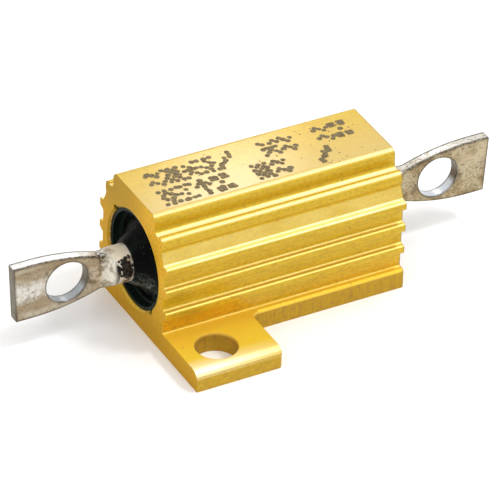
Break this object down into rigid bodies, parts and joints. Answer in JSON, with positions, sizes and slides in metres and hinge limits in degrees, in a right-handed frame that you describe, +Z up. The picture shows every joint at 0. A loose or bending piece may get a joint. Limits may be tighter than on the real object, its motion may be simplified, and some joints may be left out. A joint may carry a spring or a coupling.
{
  "type": "aluminium housed power resistor",
  "caption": "Ribbed gold-anodised aluminium housing on diagonal bolt-down lugs, with a potted wire-wound element and flattened solder terminals at both ends.",
  "frame": {"origin": "centre of the mounting face, on the plane that the base rests on", "axes": "+X along the extrusion, from the front terminal to the rear terminal; +Z up, away from the mounting face"},
  "size_m": [0.0316, 0.0164, 0.0088],
  "materials": {
    "anodised_aluminium": "satin gold anodised extrusion with sawn and milled faces",
    "encapsulant": "black high-temperature moulding with pale dust",
    "ceramic": "unglazed white ceramic",
    "resistance_wire": "bare copper-nickel wire",
    "cap_steel": "pressed and plated steel",
    "tinned_terminal": "dull tinned metal with brown tarnish"
  },
  "bodies": {
    "root": {"housing": "anodised_aluminium", "moulding": "encapsulant", "ceramic_core": "ceramic", "resistance_winding": "resistance_wire", "front_end_cap": "cap_steel", "rear_end_cap": "cap_steel", "front_terminal": "tinned_terminal", "rear_terminal": "tinned_terminal"}
  },
  "joints": []
}
